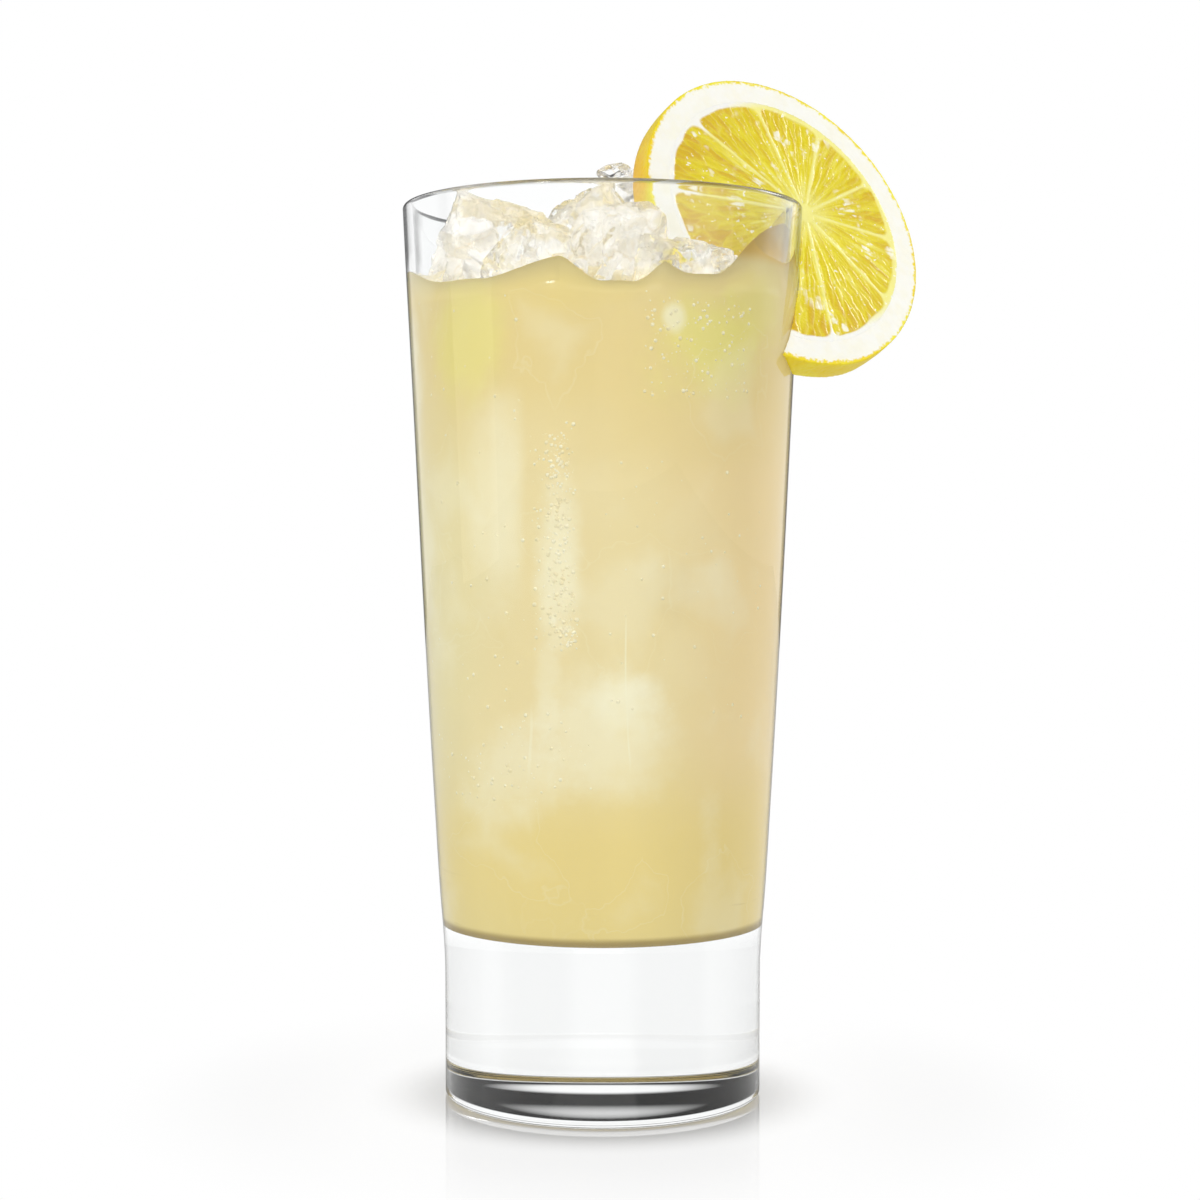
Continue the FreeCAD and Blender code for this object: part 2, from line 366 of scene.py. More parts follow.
floorValues = {
    "half": 1.5, "under": 0.06, "colour": (0.95, 0.95, 0.95, 1.0), "roughness": 0.05, "mirror": 0.38,
    # how much of the floor is plain white: beside the base, past its soft shadow, and far away
    "whiteShare": (0.08, 0.80), "throughGlass": 0.85,
    # the grey painted shadow around the base: its reach, also used for the white share, and its tone
    "shade": (0.0285, 0.046), "fade": (0.045, 0.095), "paintedShadowTone": (0.62, 0.62, 0.62, 1.0),
}


def makeFloor(v):
    half, down = v["half"], -v["under"] * mm
    corners = [(-half, -half, down), (half, -half, down), (half, half, down), (-half, half, down)]
    floor = meshObject("floor", corners, [(0, 1, 2, 3)], smooth=False)
    material, maker = newMaterial("white_sweep")
    where = maker.place()
    away = maker.length(where)
    shade, fade = maker.mask(away, *v["shade"]), maker.mask(away, *v["fade"])
    ray = maker.node("ShaderNodeLightPath").outputs
    camera, through = Signal(maker, ray["Is Camera Ray"]), Signal(maker, ray["Is Transmission Ray"])
    # painted shadow: the floor's colour turns grey near the base, as well as letting the real shadow
    # show there through less plain white
    matt = maker.node("ShaderNodeBsdfDiffuse", None, {
        "Color": maker.mixColour(shade, v["paintedShadowTone"], v["colour"])}).outputs[0]
    gloss = maker.node("ShaderNodeBsdfGlossy", None, {
        "Color": (1, 1, 1, 1), "Roughness": v["roughness"]}).outputs[0]
    white = maker.node("ShaderNodeEmission", None, {
        "Color": (1, 1, 1, 1), "Strength": 1.0}).outputs[0]
    beside, past = v["whiteShare"]
    share = camera * (shade * (past - beside) + fade * (1.0 - past) + beside)
    share = share + through * v["throughGlass"]
    surface = maker.blended(v["mirror"], matt, gloss)
    finish(maker, maker.blended(share, surface, white))
    floor.data.materials.append(material)


lampValues = {
    # where each soft box stands, its two sides in metres and how bright its face is
    "key": ((-0.38, -0.52, 0.62), 0.09, 0.09, 42.0),
    "side": ((-0.75, -0.12, 0.16), 0.42, 0.26, 0.5),
    "back": ((0.55, 0.35, 0.50), 0.20, 0.20, 4.0),
}
fillValues = {
    # where each fill shines from, how strong it is, and if glass shows it
    "fillLeft": ((-0.55, -0.80, 0.42), 0.62, True),
    "fillRight": ((0.62, -0.80, 0.35), 1.10, True),
    "fillBack": ((0.10, 0.90, 0.50), 0.90, False),
}
fillAngle = 90.0  # how wide each fill's light is, in degrees


def placeLamp(name, data, place):
    data.use_shadow = False  # the room's own light gives the shadows
    lamp = linked(name, data)
    lamp.location = place
    lamp.rotation_mode = "QUATERNION"
    lamp.rotation_quaternion = (Vector((0, 0, 0.1)) - Vector(place)).to_track_quat("-Z", "Y")
    return lamp


def makeLamps(boxes, fills):
    for name, (place, width, height, face) in boxes.items():
        data = bpy.data.lights.new(name, "AREA")
        data.shape = "RECTANGLE"
        data.size, data.size_y = width, height
        data.energy = face * math.pi * width * height
        placeLamp(name, data, place)
    for name, (place, strength, shown) in fills.items():
        data = bpy.data.lights.new(name, "SUN")
        data.angle = math.radians(fillAngle)
        data.energy = strength
        fill = placeLamp(name, data, place)
        fill.visible_glossy, fill.visible_transmission = False, shown


glassValues = {
    "segments": 192,
    # the outer side from the heel to the rim: height, radius
    "side": ((1.1, 29.40), (8.0, 29.38), (18.0, 29.40), (25.0, 29.45), (31.0, 29.78), (36.0, 30.20),
             (54.5, 31.36), (92.0, 33.40), (129.0, 35.20), (159.0, 36.75), (164.2, 36.99)),
    "sideSteps": ((3.0, 24.0, 8), (25.0, 44.0, 20), (47.0, 163.6, 40)),
    "baseRadius": 29.4, "heelRound": 1.1,
    "height": 165.0, "rimRadius": 37.0, "rimWall": 1.8, "rimRound": 0.85,
    "puntRadius": 27.6, "puntSlope": 6.5, "puntDepth": 0.42,
    "domeRise": 0.40, "bodyFrom": (36.0, 30.2), "sideTop": 164.2,
    "floor": 32.0, "floorRadius": 27.5, "floorRound": 2.4,
    "ior": 1.5, "tint": srgb(252, 253, 253), "clearness": 0.6,
    # painted shade: the dark tone, reaches and shares of the dark lines painted along the glass's
    # edges, lip and base
    "paintedEdgeShade": srgb(8, 8, 9), "edgeReach": (0.80, 0.93), "edgeShare": 0.95, "lipShare": 0.66,
    "lipSwell": 0.6, "strokeShare": 1.0, "baseShade": 0.25, "lipSides": (0.021, 0.034),
    "baseFade": (0.033, 0.029), "mouthDark": 0.10, "bodyTone": (0.90, 0.97, 0.94, 1.0),
}


def outerRadius(z):
    return float(smoothCurve(glassValues["side"], [z])[0])


def innerRadius(z):
    # the well's wall: it thickens down to the floor, and follows the outer side's slight curve
    v = glassValues
    mouth = v["rimRadius"] - v["rimWall"]
    share = (z - v["floor"]) / (v["height"] - v["floor"])
    straight = v["floorRadius"] + share * (mouth - v["floorRadius"])
    low, narrow = v["bodyFrom"]
    line = narrow + (z - low) * (v["rimRadius"] - narrow) / (v["height"] - low)
    return straight + (outerRadius(min(z, v["sideTop"])) - line if z > low else 0.0)


def makeGlass(v):
    heel, base = v["heelRound"], v["baseRadius"]
    flat = v["puntRadius"] - v["puntSlope"]
    outside = [(flat * share, v["puntDepth"] + v["domeRise"] * (1 - share ** 2) ** 1.5)
               for share in np.linspace(0.0, 0.97, 24)]
    for share in np.linspace(0.0, 1.0, 9):  # the punt's soft slope down to the ring it stands on
        eased = share * share * (3 - 2 * share)
        radius = v["puntRadius"] - v["puntSlope"] * (1 - share)
        outside.append((radius, v["puntDepth"] * (1 - eased)))
    outside += arc((base - heel, heel), heel, -90, 0, 9)
    heights = np.concatenate([np.linspace(*span) for span in v["sideSteps"]])
    outside += list(zip(smoothCurve(v["side"], heights), heights))
    lip, top = v["rimRound"], v["height"]
    outerLip = v["rimRadius"] - lip
    innerLip = v["rimRadius"] - v["rimWall"] + lip
    outside += arc((outerLip, top - lip), lip, 0, 90, 10)
    inside = arc((innerLip, top - lip), lip, 90, 180, 10)
    bend = v["floorRound"]
    down = np.concatenate([np.linspace(163.0, 45.0, 42),
                           np.linspace(43.0, v["floor"] + bend + 0.4, 6)])
    inside += [(innerRadius(z), z) for z in down]
    corner = innerRadius(v["floor"] + bend)
    inside += arc((corner - bend, v["floor"] + bend), bend, 0, -90, 10)
    inside += [(corner - bend - 3.0, v["floor"]), (12.0, v["floor"]), (0.0, v["floor"])]
    glass = turnedMesh("glassShell", outside + inside, v["segments"])
    dress(glass, glassMaterial(v), "glass", "glass")
    print("glass:", len(glass.data.polygons), "faces")


def glassMaterial(v):
    material, maker = newMaterial("clear_glass")
    facing = maker.signal("Facing", "ShaderNodeLayerWeight", None, {"Blend": 0.5})
    where = maker.place()
    height, top = maker.axis(where, "Z"), v["height"]

    def above(signal, low, full):
        # 0 to 1 between two depths under the rim
        return maker.mask(signal, (top - low) * mm, (top - full) * mm)

    # painted shade: the lip is drawn as a dark line that swells towards the mouth's two sides, and
    # the glass is tinted dark where it turns away, near the mouth and at the base's sides
    sides = maker.mask(abs(maker.axis(where, "X")), *v["lipSides"])
    radius = maker.length(maker.mapped(where, (1.0, 1.0, 0.0)))
    inner = maker.mask(radius, (v["rimRadius"] - 0.6) * mm, (v["rimRadius"] - 1.0) * mm)
    lip = above(height, 0.9, 0.45) * v["lipShare"]
    paintedLipStroke = above(height + sides * v["lipSwell"] * mm, 0.4, 0.2) * inner * v["strokeShare"]
    baseShade = maker.mask(height, *v["baseFade"]) * maker.mask(facing, 0.15, 0.9) * v["baseShade"]
    slant = facing + above(height, 13.5, 9.0) * v["mouthDark"]
    rim = maker.mask(slant, *v["edgeReach"]) * v["edgeShare"]
    edge = rim.orMore(lip).orMore(paintedLipStroke).orMore(baseShade)
    surface = maker.principled({
        "Base Color": maker.mixColour(edge, v["tint"], v["paintedEdgeShade"]),
        "Roughness": 0.0, "IOR": v["ior"], "Transmission Weight": 1.0})
    absorb = maker.node("ShaderNodeVolumeAbsorption", None, {
        "Color": v["bodyTone"], "Density": v["clearness"]})
    finish(maker, surface, Volume=absorb.outputs[0])
    return material


drinkValues = {
    "segments": 288, "bite": 0.25, "level": 151.5, "meniscus": 0.7, "meniscusWide": 0.7,
    "filmWide": 0.8, "ripples": ((0.28, 0.16, 3.0), (0.10, 0.5, 9.0)),
    # where ice pushes the drink's edge down at the wall: bearing, half width in degrees, depth
    "dips": ((226.0, 24.0, 3.3), (274.0, 12.0, 4.6), (300.0, 12.0, 3.0), (112.0, 16.0, 2.2),
             (18.0, 14.0, 2.0)),
    # where the lemon draws a film of drink up the wall: bearing, half width, height
    "films": ((325.0, 12.0, 5.6), (338.0, 9.0, 5.6)),
    "straw": srgb(240, 225, 172), "ivory": srgb(240, 230, 178), "peach": srgb(250, 227, 169),
    "green": srgb(238, 231, 134), "gold": srgb(239, 219, 134), "pale": srgb(252, 249, 222),
    "edge": srgb(176, 150, 78), "amber": srgb(232, 184, 52), "upper": srgb(234, 214, 144),
    # soft lumps of another tone just under the side, some of them painted light: middle, reach,
    # strength, tone
    "patches": (
        # the pale lumps at (-19, -27, 108) and (19, -28, 50) are painted reflections, and the one at
        # (-35, -4, 128) paints the far left side lighter
        ((-23, -26, 139), (9, 14, 13), 0.62, "green"), ((18, -28, 137), (13, 14, 11), 0.8, "green"),
        ((27, -22, 144), (8, 14, 9), 0.6, "green"), ((-19, -27, 108), (5.5, 12, 24), 0.36, "pale"),
        ((-35, -4, 128), (4.5, 14, 30), 0.8, "pale"), ((1, -33, 70), (16, 10, 13), 0.55, "pale"),
        ((5, -33, 75), (8, 10, 7), 0.8, "pale"), ((-18, -28, 62), (13, 12, 10), 0.48, "pale"),
        ((12, -32, 141.5), (2.4, 8, 3.2), 0.7, "pale"), ((-7.5, -33, 99), (4.5, 8, 18), 0.7, "pale"),
        ((-9.5, -33, 78), (3, 8, 16), 0.4, "pale"), ((-6.4, -33, 88), (1.8, 5, 0.8), 0.9, "pale"),
        ((-8.4, -33, 89.4), (0.9, 5, 1.3), 0.8, "pale"), ((19, -28, 50), (3, 8, 14), 0.4, "pale"),
        ((-10, -33, 146), (20, 8, 4), 0.3, "gold"), ((13, -33, 95), (6, 8, 8), 0.08, "edge")),
    # painted highlights, thin upright glints: how far across, half width, lowest, highest, strength
    "paintedGlints": ((4.2, 0.22, 62.0, 92.0, 0.55), (-12.6, 0.35, 60.0, 76.0, 0.4),
                (-16.5, 3.6, 94.0, 132.0, 0.30)),
    # cells that stand for sunk ice: their scale, how far and how finely their borders bend
    "cells": 62.0, "cellBend": 0.018, "bendScale": 60.0, "lumpShare": 0.26, "lineShare": 0.16,
    "cloudScale": 34.0, "cloudShare": 0.35,
}


def drinkTop(radius, angle, height):
    # the drink's surface: pushed down at the wall beside ice, drawn up by the glass, faintly rippled
    v = drinkValues
    if height < v["level"] - 0.01:
        return height
    wall = innerRadius(v["level"]) + v["bite"]
    bearing = math.degrees(angle)
    dip = 0.0
    for middle, half, depth in v["dips"]:
        off = abs(turnBetween(bearing, middle)) / half
        if off < 1.6:
            dip = max(dip, depth * float(1 - smoothstep(0.35, 1.45, off)))
    film = 0.0
    for middle, half, rise in v["films"]:
        film += rise * math.exp(-(turnBetween(bearing, middle) / half) ** 2)
    near = float(smoothstep(wall - 18.0, wall - 3.0, radius))
    x, y = radius * math.cos(angle), radius * math.sin(angle)
    ripple = 0.0
    for size, scale, seed in v["ripples"]:
        ripple += size * noise.noise(Vector((x * scale, y * scale, seed)))
    drawn = v["meniscus"] * math.exp((radius - wall) / v["meniscusWide"])
    drawn += film * math.exp((radius - wall) / v["filmWide"])
    return height - dip * near + drawn + ripple


def makeDrink(v):
    bite, level = v["bite"], v["level"]
    base = glassValues["floor"] - bite
    bend = glassValues["floorRound"]
    corner = innerRadius(glassValues["floor"] + bend) + bite
    profile = [(0.0, base), (12.0, base), (corner - bend - 2.0, base)]
    profile += arc((corner - bend, base + bend), bend, -90, 0, 10)
    profile += [(innerRadius(z) + bite, z) for z in np.linspace(base + bend + 0.8, level - 6.0, 70)]
    wall = innerRadius(level) + bite
    steps = np.concatenate([[0.0, 0.25, 0.5, 0.8, 1.2], np.arange(1.8, wall - 1.0, 0.8)])
    profile += [(wall - step, level) for step in steps] + [(0.0, level)]
    drink = turnedMesh("strawDrink", profile, v["segments"], drinkTop)
    dress(drink, drinkMaterial(v), "drink", "drink")
    print("drink:", len(drink.data.polygons), "faces")


def drinkMaterial(v):
    material, maker = newMaterial("straw_fizz")
    where = maker.place()
    x, y, z = (maker.axis(where, name) for name in "XYZ")
    mixed, mask = maker.mixColour, maker.mask
    warp = maker.noise(where, 28.0, 2.0) - 0.5
    # painted light: the drink is lighter ivory towards its left side, where the light falls, and
    # warmer peach to the right
    side = x + warp * 0.012
    colour = mixed(mask(side, -0.030, -0.012), v["ivory"], v["straw"])
    colour = mixed(mask(side, 0.004, 0.030) * 0.8, colour, v["peach"])
    colour = mixed(mask(z + warp * 0.02, 0.070, 0.045) * 0.7, colour, v["gold"])
    colour = mixed(mask(z + warp * 0.04, 0.112, 0.138) * 0.8, colour, v["upper"])
    colour = mixed(mask(z, 0.1515, 0.1545) * 0.8, colour, v["amber"])

    ragged = (maker.noise(where, 85.0, 5.0, 0.6) - 0.5) * 1.3
    for centre, reach, strength, tone in v["patches"]:
        scale = tuple(1.0 / (part * mm) for part in reach)
        shift = tuple(-part * mm * size for part, size in zip(centre, scale))
        away = maker.length(maker.mapped(where, scale, shift))
        colour = mixed(mask(away + ragged, 1.15, 0.35) * strength, colour, v[tone])

    # pieces of ice that show dimly just under the side, each a flat tone with a soft outline
    wander = maker.node("ShaderNodeTexNoise", None, {
        "Vector": where, "Scale": v["bendScale"], "Detail": 4.0}).outputs["Color"]
    wander = maker.node("ShaderNodeVectorMath", {"operation": "SCALE"}, {
        0: wander, "Scale": v["cellBend"]}).outputs[0]
    bent = maker.node("ShaderNodeVectorMath", {"operation": "ADD"}, {0: where, 1: wander}).outputs[0]
    cell = {"Vector": bent, "Scale": v["cells"]}
    chance = maker.node("ShaderNodeTexVoronoi", None, cell).outputs["Color"]
    chance = maker.signal("Red", "ShaderNodeSeparateColor", None, {"Color": chance})
    border = maker.signal("Distance", "ShaderNodeTexVoronoi", {"feature": "DISTANCE_TO_EDGE"}, cell)
    lump = mask(border, 0.0, 0.30) * mask(chance, 0.55, 0.80) * v["lumpShare"]
    line = mask(border, 0.02, 0.0) * mask(chance, 0.60, 0.85) * v["lineShare"]
    colour = mixed(line, mixed(lump, colour, v["pale"]), v["pale"])

    # painted highlights: pale upright glints on the drink's front
    front = mask(y, 0.0, -0.01)
    wander = (maker.noise(where, 40.0, 2.0) - 0.5) * 0.003
    for across, half, low, high, strength in v["paintedGlints"]:
        near = mask(abs(x + wander - across * mm), half * mm, half * mm * 0.3)
        tall = mask(z, low * mm, (low + 6.0) * mm) * mask(z, high * mm, (high - 6.0) * mm)
        colour = mixed(near * tall * front * strength, colour, v["pale"])
    cloud = maker.noise(where, v["cloudScale"], 4.0, 0.55)
    colour = mixed(mask(cloud, 0.55, 0.75) * v["cloudShare"], colour, v["pale"])
    colour = mixed(mask(cloud, 0.45, 0.28) * v["cloudShare"], colour, v["gold"])
    lines = maker.noise(maker.mapped(where, (0.4, 0.4, 9.0)), 60.0, 4.0, 0.6)
    colour = mixed(mask(lines, 0.62, 0.72) * mask(z, 0.046, 0.034) * 0.35, colour, v["edge"])
    # painted shade: a dark line along the drink's bottom corner
    colour = mixed(mask(z, 0.0338, 0.0325) * 0.85, colour, v["edge"])
    finish(maker, maker.principled({"Base Color": colour, "Roughness": 0.12, "IOR": 1.33}))
    return material


bubbleValues = {
    # on the wall: middle bearing, half width, lowest and highest, how crowded from 0 to 1
    "wall": ((256.5, 3.6, 86.0, 122.0, 0.8), (259.5, 2.6, 84.0, 97.0, 1.0),
             (255.0, 7.0, 84.0, 124.0, 0.3), (250.0, 16.0, 60.0, 74.0, 0.12),
             (228.0, 22.0, 56.0, 66.0, 0.14), (300.0, 18.0, 128.0, 146.0, 0.25),
             (300.0, 30.0, 70.0, 120.0, 0.03), (90.0, 86.0, 50.0, 146.0, 0.05),
             (215.0, 30.0, 60.0, 146.0, 0.03)),
    "wallDensity": 2200000.0, "wallSize": 0.40, "topDensity": 330000.0, "topSize": 0.62, "seed": 7,
    "wallGrid": (8, 4), "topSteps": 120, "sunk": 0.05,
    "tone": srgb(250, 246, 222),
}


def beadTree():
    # beads of uneven size over the faces it is given, each half sunk in them
    tree = bpy.data.node_groups.new("scatterBeads", "GeometryNodeTree")
    for name, kind in (("Geometry", "Geometry"), ("Density", "Float"), ("Bead Size", "Float"),
                       ("Seed", "Int"), ("Material", "Material")):
        tree.interface.new_socket(name, in_out="INPUT", socket_type="NodeSocket" + kind)
    tree.interface.new_socket("Geometry", in_out="OUTPUT", socket_type="NodeSocketGeometry")
    maker = NodeMaker(tree)
    given = maker.node("NodeGroupInput").outputs
    crowd = maker.signal("Attribute", "GeometryNodeInputNamedAttribute", {
        "data_type": "FLOAT"}, {"Name": "crowd"})
    points = maker.node("GeometryNodeDistributePointsOnFaces", None, {
        "Mesh": given["Geometry"], "Density": crowd * given["Density"], "Seed": given["Seed"]})
    size = maker.signal(1, "FunctionNodeRandomValue", {"data_type": "FLOAT"}, {
        "Min": 0.0, "Max": 1.0, "Seed": given["Seed"]})
    uneven = size ** 2.5 * 0.75 + 0.25
    bead = maker.node("GeometryNodeMeshIcoSphere", None, {
        "Radius": given["Bead Size"], "Subdivisions": 2})
    made = maker.node("GeometryNodeInstanceOnPoints", None, {
        "Points": points.outputs["Points"], "Instance": bead.outputs["Mesh"], "Scale": uneven})
    for kind, sockets in (("GeometryNodeRealizeInstances", {}), ("GeometryNodeSetShadeSmooth", {}),
                          ("GeometryNodeSetMaterial", {"Material": given["Material"]}),
                          ("NodeGroupOutput", {})):
        made = maker.node(kind, None, {"Geometry": made.outputs[0], **sockets})
    return tree


def scatterBeads(patch, tree, name, values):
    modifier = patch.modifiers.new("beads", "NODES")
    modifier.node_group = tree
    for socket in tree.interface.items_tree:
        if socket.in_out == "INPUT" and socket.name in values:
            modifier[socket.identifier] = values[socket.name]
    return evaluated(patch, name)


def crowdPatch(name, corners):
    # loose quads, four corners each, as a place and how crowded with bubbles it is there
    faces = [tuple(range(start, start + 4)) for start in range(0, len(corners), 4)]
    patch = meshObject(name, [place for place, crowd in corners], faces)
    addAttributes(patch.data, crowd=[crowd for place, crowd in corners])
    return patch


def wallPatch(v):
    # ragged strips of the wall, each with its own crowd of bubbles
    corners = []
    columns, rows = v["wallGrid"]
    for middle, half, low, high, crowd in v["wall"]:
        for column in range(columns):
            for row in range(rows):
                for across, up in ((0, 0), (1, 0), (1, 1), (0, 1)):
                    angle = math.radians(middle - half + (column + across) * 2 * half / columns)
                    z = low + (row + up) * (high - low) / rows
                    radius = innerRadius(z) + drinkValues["bite"] - v["sunk"]
                    ragged = 0.5 + 0.5 * noise.noise(Vector((angle * 9.0, z * 0.12, 1.0)))
                    corners.append((atBearing(radius, angle, z), crowd * (0.35 + ragged)))
    return crowdPatch("wallPatch", corners)


def topPatch(v):
    # rings over the drink's surface, most crowded along the glass
    corners = []
    wall, level, steps = innerRadius(drinkValues["level"]), drinkValues["level"], v["topSteps"]
    radii = [wall - 0.35, wall - 1.2, wall - 3.0] + list(np.arange(wall - 6.0, 1.0, -3.0))
    for step in range(steps):
        for ring, (outer, inner) in enumerate(zip(radii, radii[1:])):
            most = 1.0 if ring == 0 else 0.30
            for radius, turn in ((outer, step), (outer, step + 1), (inner, step + 1), (inner, step)):
                angle = 2 * math.pi * turn / steps
                x, y = radius * 0.1 * math.cos(angle), radius * 0.1 * math.sin(angle)
                crowd = max(0.0, most * (0.6 + 1.2 * noise.noise(Vector((x, y, 4.0)))))
                z = drinkTop(radius, angle, level) - v["sunk"]
                corners.append((atBearing(radius, angle, z), crowd))
    return crowdPatch("topPatch", corners)


def makeBubbles(v):
    material, maker = newMaterial("fizz_bubbles")
    tint = maker.mask(maker.noise(maker.place(), 300.0, 2.0), 0.35, 0.65)
    finish(maker, maker.principled({
        "Base Color": maker.mixColour(tint * 0.5, v["tone"], drinkValues["straw"]),
        "Roughness": 0.08, "IOR": 1.33}))
    tree = beadTree()
    for makePatch, name, density, size, seed in (
            (wallPatch, "wallBubbles", v["wallDensity"], v["wallSize"], v["seed"]),
            (topPatch, "topBubbles", v["topDensity"], v["topSize"], v["seed"] + 1)):
        beads = scatterBeads(makePatch(v), tree, name, {
            "Density": density, "Bead Size": size * mm, "Seed": seed, "Material": material})
        dress(beads, material, "drink")
        print("bubbles:", name, len(beads.data.polygons), "faces")


iceValues = {
    "voxel": 0.42, "chips": 7, "chipDepth": (0.1, 0.5), "scoops": 4, "cells": 60, "tilt": 0.34,
    "cellDepth": 0.55, "grain": 0.04, "chipKeep": 0.97, "scoopRadius": (2.5, 8.0),
    "scoopDepth": (0.25, 0.8), "bend": 0.7, "bendScale": 0.35,
    "clear": srgb(253, 253, 253), "cloud": srgb(255, 253, 249), "crack": srgb(226, 204, 166),
    # loose bits: bearing, inset from the wall, height over the drink, size
    "shards": ((205, 7.5, 8.0, 12.5), (196, 6.5, 3.5, 9.0), (63.4, 27.6, 21.0, 8.0),
               (52, 27.0, 18.6, 6.5), (284, 4.2, 3.0, 6.0), (291, 3.6, 1.8, 5.0),
               (299, 3.8, 2.4, 6.0), (305, 3.4, 1.6, 5.0), (310, 3.6, 2.2, 5.6),
               (315, 3.2, 1.0, 4.6), (312, 8.5, 1.0, 7.0), (322, 9.0, 0.6, 6.0),
               (331, 6.0, 0.2, 5.0), (258, 4.5, 0.8, 5.0), (262, 9.0, 1.2, 6.0),
               (214, 5.0, 0.0, 4.0), (198, 9.0, 0.2, 5.0), (182, 6.0, 0.1, 4.4),
               (166, 8.0, 0.3, 6.0), (150, 6.0, 0.2, 5.0), (140, 12.0, 0.4, 6.5),
               (76, 6.0, 0.2, 5.0), (60, 8.0, 0.3, 5.6), (42, 6.0, 0.2, 4.4),
               (330, 20.0, 0.3, 6.0), (210, 26.0, 0.4, 6.0), (160, 24.0, 0.4, 5.4),
               (20, 26.0, 0.4, 5.0)),
    "shardCuts": 16, "shardSeed": 23, "shardWide": (0.75, 1.25), "shardFlat": (0.45, 0.75),
    "cutDepth": (0.24, 0.36), "paintedGlow": 0.16, "tea": 0.6,
}


def iceMaterial(v):
    material, maker = newMaterial("cracked_ice")
    where = maker.place()
    veins = maker.noise(where, 260.0, 5.0, 0.6, 1.2)
    fine = maker.noise(where, 1400.0, 2.0, 0.5)
    bump = maker.node("ShaderNodeBump", None, {
        "Strength": 0.35, "Distance": 0.0004, "Height": veins * 0.8 + fine * 0.2}).outputs[0]
    cloud = maker.noise(where, 95.0, 4.0, 0.6, 0.6)
    # thin tea-coloured lines, where two facets meet inside
    cracks = maker.mask(abs(maker.noise(where, 85.0, 2.0, 0.5, 0.8) - 0.5), 0.010, 0.0) * v["tea"]
    clear = maker.principled({
        "Base Color": maker.mixColour(cracks, v["clear"], v["crack"]), "Roughness": 0.03,
        "IOR": 1.31, "Transmission Weight": 1.0, "Normal": bump})
    # the cloudy part glows a little in its own white: painted light
    cloudy = maker.principled({
        "Base Color": maker.mixColour(cracks, v["cloud"], v["crack"]), "Roughness": 0.25,
        "IOR": 1.31, "Normal": bump, "Emission Color": v["cloud"], "Emission Strength": v["paintedGlow"]})
    share = maker.mask(cloud, 0.44, 0.68) * 0.38 + maker.mask(veins, 0.60, 0.70) * 0.22 + 0.03
    left = maker.mask(maker.axis(where, "X"), -0.010, -0.022)
    share = share + left * maker.mask(cloud, 0.35, 0.60) * 0.12
    finish(maker, maker.blended(share, clear, cloudy))
    return material


def anyDirection(dice):
    n = np.array([dice.gauss(0, 1) for axis in range(3)])
    return n / np.linalg.norm(n)


def makeIce(v):
    material = iceMaterial(v)
    for name in sorted(each for each in nodes if each.startswith("ice_")):
        dice = random.Random(name)
        mesh = nodes[name].data.copy()
        form = bmesh.new()
        form.from_mesh(mesh)
        bmesh.ops.remove_doubles(form, verts=form.verts, dist=0.00001)
        form.to_mesh(mesh)
        form.free()
        lump = linked("lump_" + name[4:], mesh)
        lump.data.materials.clear()
        lump = voxelMesh(lump, v["voxel"])
        co = coordinates(lump.data) / mm
        middle = co.mean(axis=0)
        p = co - middle
        for chip in range(v["chips"]):  # flat breaks over the corners and edges
            n = anyDirection(dice)
            along = p @ n
            depth = along.max() - dice.uniform(*v["chipDepth"])
            p -= np.maximum(along - depth, 0.0)[:, None] * n * v["chipKeep"]
        for scoop in range(v["scoops"]):  # shallow shell-like hollows
            n = anyDirection(dice)
            radius = dice.uniform(*v["scoopRadius"])
            hit = p[np.argmax(p @ n)] if scoop % 3 == 0 else p[dice.randrange(len(p))]
            out = hit / np.linalg.norm(hit)
            centre = hit + out * (radius - dice.uniform(*v["scoopDepth"]))
            away = p - centre
            far = np.linalg.norm(away, axis=1)
            inside = far < radius
            p[inside] = centre + away[inside] / far[inside, None] * radius
        setCoordinates(lump.data, p)
        normals = np.array([tuple(vertex.normal) for vertex in lump.data.vertices])
        inward = facetDepth(v, dice, p)
        setCoordinates(lump.data, (p - normals * inward[:, None] + middle) * mm)
        smoothFaces(lump.data)
        dress(lump, material, "ice", name)
        print("ice:", name, len(lump.data.polygons), "faces")
    makeShards(v, material)


def facetDepth(v, dice, p):
    # how far small uneven facets, each with a tilt of its own, press each point in
    tree = KDTree(v["cells"])
    cells = []
    for index in range(v["cells"]):
        seed = p[dice.randrange(len(p))]
        tree.insert(seed, index)
        cells.append((seed, np.array([dice.gauss(0, v["tilt"]) for axis in range(3)]),
                      dice.uniform(0.0, v["cellDepth"] * 0.5)))
    tree.balance()
    bends = [turbulence(p, v["bendScale"], seed) for seed in (1.0, 2.0, 4.0)]
    inward = np.zeros(len(p))
    for row, place in enumerate(p + v["bend"] * np.column_stack(bends)):
        seed, tilt, depth = cells[tree.find(place)[1]]
        inward[row] = depth + float(tilt @ (p[row] - seed))
    grain = v["grain"] * (0.5 + 0.5 * turbulence(p, 0.9, 3.0))
    return np.clip(inward, 0.0, v["cellDepth"]) + grain


